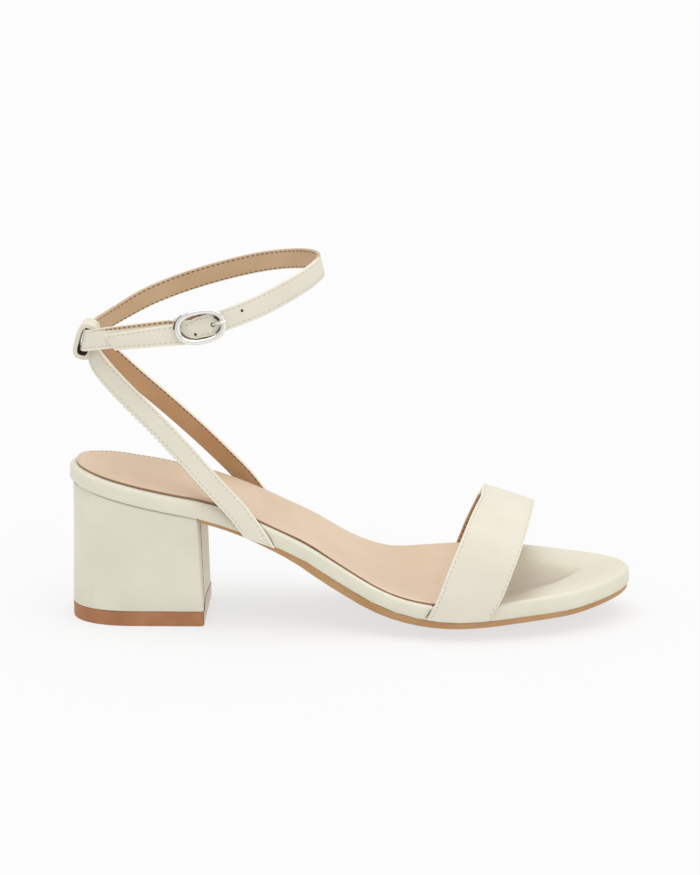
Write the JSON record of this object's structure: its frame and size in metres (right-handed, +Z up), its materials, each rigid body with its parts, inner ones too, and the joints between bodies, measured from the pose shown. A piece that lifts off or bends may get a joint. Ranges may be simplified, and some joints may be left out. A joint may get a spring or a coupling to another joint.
{
  "type": "block heel sandal",
  "caption": "Open-toe women's sandal with a wrapped footbed on a covered block heel, one toe strap, sling straps and a buckled ankle strap.",
  "frame": {"origin": "centre of the heel's floor face, on the floor", "axes": "+X to the toe, +Y to the inner side of the foot, +Z up"},
  "size_m": [0.232, 0.0891, 0.1513],
  "materials": {
    "wrap": "cream faux leather, fine grain, low gloss",
    "lining": "light tan faux leather, matt",
    "sole_sheet": "tan brown resin rubber, matt",
    "heel_rubber": "brown rubber, matt",
    "metal": "polished silver plating"
  },
  "bodies": {
    "root": {"midsole": "wrap", "insole": "lining", "outsole": "sole_sheet", "heel_block": "wrap", "top_lift": "heel_rubber", "toe_strap": "wrap", "sling_straps": "wrap", "ankle_strap": "wrap", "buckle_frame": "metal", "buckle_prong": "metal"}
  },
  "joints": []
}
